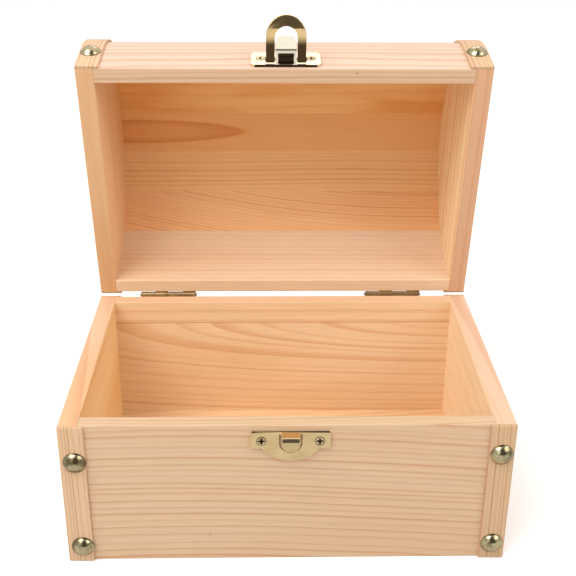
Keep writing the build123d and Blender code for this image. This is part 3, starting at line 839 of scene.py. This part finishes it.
# %% Build the group for handled metal
worn, have, give = group_with(
    "handled_metal",
    [
        (vector, "Place", None),
        (colour, "Bright", paint(236, 214, 150)),
        (colour, "Dull", paint(190, 160, 96)),
        (number, "Dullness", 0.3),
        (number, "Smooth", 0.16),
        (number, "Rough", 0.34),
        (number, "Seed", 0.0),
    ],
    [(colour, "Color"), (number, "Roughness"), (number, "Height")],
)
seed = have["Seed"]
smudge = cloud(worn, stretched(worn, have["Place"], 160.0, 160.0, seed), 4.0, 0.6)
speck = cloud(worn, stretched(worn, have["Place"], 900.0, 900.0, seed), 2.0)
scratch = cloud(worn, stretched(worn, have["Place"], 300.0, 5200.0, seed), 1.0)
dulled = calc(worn, "MULTIPLY", ramp(worn, smudge, 0.40, 0.66), have["Dullness"])
specked = calc(worn, "MULTIPLY", ramp(worn, speck, 0.62, 0.72), have["Dullness"])
dull_share = calc(worn, "MAXIMUM", dulled, specked)
worn.links.new(blend_colours(worn, dull_share, have["Bright"], have["Dull"]), give["Color"])
rough_step = calc(worn, "SUBTRACT", have["Rough"], have["Smooth"])
rough = calc(worn, "MULTIPLY_ADD", ramp(worn, smudge, 0.35, 0.7), rough_step, have["Smooth"])
worn.links.new(rough, give["Roughness"])
worn.links.new(calc(worn, "MULTIPLY_ADD", scratch, 0.3, calc(worn, "MULTIPLY", smudge, 0.7)), give["Height"])
print("metal group nodes", len(worn.nodes))


# %% Make the metals
def stored_grime_and_shade(tree, place):
    """The amount of grime and painted shade that the points of a piece carry."""
    return put(tree, "ShaderNodeAttribute", {"attribute_name": "grime_and_shade"}).outputs["Fac"]


def inside_box(tree, place, middle, half):
    """One inside a box, falling to nothing just outside it."""
    away = shifted(tree, "SUBTRACT", place, middle)[0]
    share = shifted(tree, "ABSOLUTE", shifted(tree, "DIVIDE", away, half)[0], (0, 0, 0))[0]
    share_x, share_y, share_z = put(tree, "ShaderNodeSeparateXYZ", Vector=share).outputs
    farthest = calc(tree, "MAXIMUM", calc(tree, "MAXIMUM", share_x, share_y), share_z)
    return ramp(tree, farthest, 0.97, 1.0, 1.0, 0.0)


pin_low, pin_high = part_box("hasp_pin")
pin_middle = (pin_low + pin_high) / 2


def under_the_lever(tree, place):
    """Painted shade on the plate's edge and its knuckle, and a painted dark patch for the opening that the
    knuckle's lug was folded out of, which is not cut.
    """
    knuckle = inside_box(tree, place, pin_middle, Vector((4.5, 1.55, 1.5)) * mm)
    opening = inside_box(tree, place, pin_middle + Vector((0, 6.3, 0)) * mm, Vector((4.5, 6.9, 4.0)) * mm)
    return calc(tree, "MAXIMUM", stored_grime_and_shade(tree, place), calc(tree, "MAXIMUM", knuckle, opening))


strike_low, strike_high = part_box("strike_plate")
hook_front = Vector(((strike_low.x + strike_high.x) / 2, strike_low.y, strike_high.z))


def under_the_fold(tree, place):
    """Painted dark reflections: on the strike plate's top edge, in a band just under the hook's fold, and
    lightly over the hook's face.
    """
    band = inside_box(tree, place, hook_front - Vector((0, 0, 1.3)) * mm, Vector((3.7, 0.4, 0.7)) * mm)
    face = inside_box(tree, place, hook_front - Vector((0, 0, 4.5)) * mm, Vector((4.2, 0.4, 2.6)) * mm)
    shaded = calc(tree, "MAXIMUM", calc(tree, "MULTIPLY", band, 0.94), calc(tree, "MULTIPLY", face, 0.22))
    return calc(tree, "MAXIMUM", stored_grime_and_shade(tree, place), shaded)


def near_the_pin(tree, place):
    """The ring's legs up to half their length, counted round the pin's own line, where a painted dark
    reflection is laid, darkest near the pin.
    """
    across_pin = (0, 1, 1)
    away = shifted(tree, "MULTIPLY", shifted(tree, "SUBTRACT", place, pin_middle)[0], across_pin)[0]
    distance = shifted(tree, "LENGTH", away, (0, 0, 0))["Value"]
    return ramp(tree, distance, 7.5 * mm, 13.0 * mm, 1.0, 0.0)


def metal_material(name, bright, dull, dullness, smooth, rough, seed, grime_and_shade=None, where=stored_grime_and_shade):
    """A metal whose colour and roughness come from the handled metal group.

    With a colour for grime and painted shade, the piece is darkened toward it by the amount that the last
    value, a function of the tree and the place, works out. The plates' painted shade is matte and not
    metallic.
    """
    material = bpy.data.materials.new(name)
    material.use_nodes = True
    tree = material.node_tree
    shader = tree.nodes["Principled BSDF"]
    shader.inputs["Metallic"].default_value = 1.0
    place = put(tree, "ShaderNodeTexCoord").outputs["Object"]
    group = put(
        tree,
        "ShaderNodeGroup",
        {"node_tree": worn},
        Place=place,
        Bright=paint(*bright),
        Dull=paint(*dull),
        Dullness=dullness,
        Smooth=smooth,
        Rough=rough,
        Seed=seed,
    )
    tone = group.outputs["Color"]
    if grime_and_shade:
        amount = where(tree, place)
        if grime_and_shade == painted_shade_tone:
            bare = calc(tree, "SUBTRACT", 1.0, amount)
            tree.links.new(bare, shader.inputs["Metallic"])
            shader.inputs["Specular IOR Level"].default_value = 0.0
        tone = blend_colours(tree, amount, tone, paint(*grime_and_shade))
    tree.links.new(tone, shader.inputs["Base Color"])
    tree.links.new(group.outputs["Roughness"], shader.inputs["Roughness"])
    bump = put(tree, "ShaderNodeBump", {}, Height=group.outputs["Height"], Strength=0.2, Distance=0.02 * mm)
    tree.links.new(bump.outputs[0], shader.inputs["Normal"])
    return material


# A dark, matte colour for the painted shade and painted dark reflections on the two plates.
painted_shade_tone = (48, 34, 24)
# The latch plate's brass is paler and whiter than the strike plate's: a painted sheen standing in for the
# bright sky it mirrors.
latch_brass = metal_material(
    "latch_brass", (240, 223, 187), (224, 200, 150), 0.35, 0.14, 0.30, 2.0, painted_shade_tone, under_the_lever
)
strike_brass = metal_material(
    "strike_brass", (240, 213, 160), (216, 184, 130), 0.4, 0.14, 0.30, 3.0, painted_shade_tone, under_the_fold
)
# The lever's brass is paler still, nearly white: a painted sheen for its brightly lit tab.
lever_brass = metal_material("lever_brass", (255, 246, 224), (240, 218, 178), 0.3, 0.12, 0.28, 4.0)
# The ring's last colour is a painted dark reflection on its legs near the pin.
ring_brass = metal_material(
    "ring_brass", (255, 222, 162), (246, 196, 130), 0.5, 0.10, 0.24, 7.0, (84, 66, 44), near_the_pin
)
# The nails' last colour is painted shade at the foot of each head, where it meets the wood.
nail_brass = metal_material(
    "nail_brass", (208, 194, 152), (104, 86, 56), 0.85, 0.12, 0.30, 12.0, (84, 68, 42)
)
hinge_brass = metal_material("hinge_brass", (196, 170, 124), (128, 98, 66), 0.6, 0.28, 0.44, 17.0)
# The screws' last colour darkens their cross recesses, with dirt and painted shade, and the rims of their
# heads, with painted shade.
screw_brass = metal_material(
    "screw_brass", (236, 214, 168), (170, 130, 80), 0.5, 0.16, 0.34, 23.0, (60, 34, 16)
)

# %% [markdown]
# The pressed sheet also has its edges eased, by about a quarter of a millimetre: enough
# for a bright line along each fold and rim. Grime and painted shade are laid on by
# place: each point of a screw carries its depth below the head, so that the cross
# recess is dark with dirt and painted shade, and the head's rim has a ring of painted
# shade. The latch plate's lower edge and the strike plate's top edge are painted dark,
# as painted shade and dark reflection, and nail heads have painted shade at their foot.
# Where no point of a piece is near enough, the painted shade is worked out from the place.

# %% Finish the brass pieces
def store_grime_and_shade(mesh, amounts):
    """Store the amount of grime and painted shade of each point."""
    grime_and_shade = mesh.attributes.new("grime_and_shade", "FLOAT", "POINT")
    grime_and_shade.data.foreach_set("value", np.clip(amounts, 0, 1).astype(np.float32))


plate_ease = 0.2 * mm
bent_ease = 0.26 * mm
edge_slack = 0.08 * mm
hook_clear = 6.5 * mm
latch_mesh = eased("latch_plate", [], plate_ease, latch_brass, least_angle=60)
# The latch plate's edge toward the lid's rim is painted dark: painted shade and dark reflection.
toward_rim = points_of(latch_mesh) @ np.array(opened((0, 0, -1)))
store_grime_and_shade(latch_mesh, toward_rim > toward_rim.max() - edge_slack)

strike_mesh = eased("strike_plate", [], plate_ease, strike_brass, least_angle=60)
# The strike plate's top edge beside the hook is painted dark: a painted dark reflection.
beside_hook = np.abs(points_of(strike_mesh)[:, 0] - pin_middle.x) > hook_clear
upward = points_of(strike_mesh)[:, 2]
store_grime_and_shade(strike_mesh, beside_hook & (upward > upward.max() - edge_slack))

eased("latch_ring", [], bent_ease, ring_brass, least_angle=60)
eased("latch_lever", [], bent_ease, lever_brass, least_angle=60)

small_pieces = ["hasp_pin"]
for side in sides:
    small_pieces += [f"{side}_{piece}" for piece in ("hinge_box_leaf", "hinge_lid_leaf", "hinge_pin")]
small_pieces += ["hinge_box_brads", "hinge_lid_brads"]
for node in small_pieces:
    mesh = eased(node, [], 0.12 * mm, hinge_brass, 2)
    print(node, "faces", len(mesh.polygons))

for node, outward in {"latch_screws": opened((0, -1, 0)), "strike_screws": Vector((0, -1, 0))}.items():
    mesh = eased(node, [], 0.05 * mm, screw_brass, 2)
    points = points_of(mesh)
    # The cross recess darkens with its depth below the head, dirt and painted shade, and the head's rim gets
    # a ring of painted shade.
    height = points @ np.array(outward)
    depth = np.clip((height.max() - height - 0.1 * mm) / (0.35 * mm), 0, 1)
    across = np.stack([points[:, 0], points @ np.cross(outward, (1, 0, 0))], -1)
    on_left = across[:, 0] < across[:, 0].mean()
    from_axis = np.zeros(len(points))
    for chosen in (on_left, ~on_left):
        middle = (across[chosen].min(0) + across[chosen].max(0)) / 2
        from_axis[chosen] = np.linalg.norm(across[chosen] - middle, axis=1)
    rim = from_axis > 0.93 * from_axis.max()
    store_grime_and_shade(mesh, np.maximum(depth, 0.6 * rim))
    print(node, "faces", len(mesh.polygons))

# %% [markdown]
# ## Domed nails
#
# An upholstery nail's head is a shallow dome pressed from sheet, with a small rolled
# rim. It is a surface of revolution: a profile that gives a height for each distance
# from the middle, turned about the nail's own line. Both the distance and the turn
# are laid out as one grid of numbers, so the whole head is worked out at once.


# %% Turn the nail heads
def dome_profile(radius, height, rim, steps):
    """Distances from the axis and heights above the wood, from the middle to the rim's foot."""
    inner = radius - rim
    rise = height - rim
    sphere = (inner**2 + rise**2) / (2 * rise)
    turn = np.linspace(0, math.asin(inner / sphere), steps)
    cap_out = sphere * np.sin(turn)
    cap_up = rim + rise - sphere * (1 - np.cos(turn))
    bend = np.linspace(math.radians(60), 0, 6)[1:]
    rim_out = inner + rim * np.cos(bend)
    rim_up = rim * np.sin(bend)
    return np.concatenate([cap_out, rim_out]), np.concatenate([cap_up, rim_up])


def turned_heads(name, body, node, centres, outward, radius, height):
    """All nail heads of one node as one piece, each the same profile turned about its own line."""
    out, up = dome_profile(radius, height, 0.45 * mm, 18)
    turns = 56
    angle = np.arange(turns) * 2 * math.pi / turns
    across_1 = np.array([1.0, 0.0, 0.0])
    normal = np.array(Vector(outward).normalized())
    across_2 = np.cross(normal, across_1)
    rings = len(out) - 1
    spokes = np.cos(angle)[:, None] * across_1 + np.sin(angle)[:, None] * across_2
    ring_points = (out[1:, None, None] * spokes + up[1:, None, None] * normal).reshape(-1, 3)
    head = np.concatenate([ring_points, [up[0] * normal], [[0.0, 0.0, 0.0]]])
    top, foot = len(head) - 2, len(head) - 1
    step = np.arange(turns)
    after = (step + 1) % turns
    row = np.arange(rings - 1)[:, None] * turns
    quads = np.stack([row + step, row + step + turns, row + after + turns, row + after], -1).reshape(-1, 4)
    cap = np.stack([np.full(turns, top), step, after], -1)
    last = (rings - 1) * turns
    base = np.stack([np.full(turns, foot), last + after, last + step], -1)
    points = np.concatenate([head + np.array(c) for c in centres])
    faces = []
    for shift in range(0, len(points), len(head)):
        faces += (quads + shift).tolist() + (cap + shift).tolist() + (base + shift).tolist()
    mesh = bpy.data.meshes.new(name)
    mesh.from_pydata(points.tolist(), [], faces)
    mesh.shade_smooth()
    mesh.materials.append(nail_brass)
    # The foot of each head, where it meets the wood, is painted dark: painted shade.
    above_wood = points @ normal - min(np.array(c) @ normal for c in centres)
    store_grime_and_shade(mesh, above_wood < 0.3 * mm)
    piece = bpy.data.objects.new(name, mesh)
    bpy.context.scene.collection.objects.link(piece)
    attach(piece, body)
    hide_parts(node)
    print(name, "faces", len(mesh.polygons))


head_radius = 5.15 * mm
head_height = 3.1 * mm
strip_face = strip_low.y
strip_middle = -(strip_low.x + strip_high.x) / 2
lid_nail_height = 17 * mm
nail_spots = [
    (-strip_middle + 0.9 * mm, box_height - 18 * mm),
    (-strip_middle + 1.2 * mm, 8.4 * mm),
    (strip_middle, box_height - 15 * mm),
    (strip_middle - 0.2 * mm, 8.6 * mm),
]
box_centres = [(x, strip_face, z) for x, z in nail_spots]
turned_heads("box_nail_heads", "box", "box_nails", box_centres, (0, -1, 0), head_radius, head_height)

shut_place = Vector((0, strip_face, lid_rim + lid_nail_height))
turned_place = hinge_line + opened(shut_place - hinge_line)
lid_centres = [(side * strip_middle, turned_place.y, turned_place.z) for side in (-1, 1)]
lid_front = opened((0, -1, 0))
turned_heads("lid_nail_heads", "lid", "lid_nails", lid_centres, lid_front, head_radius, head_height)
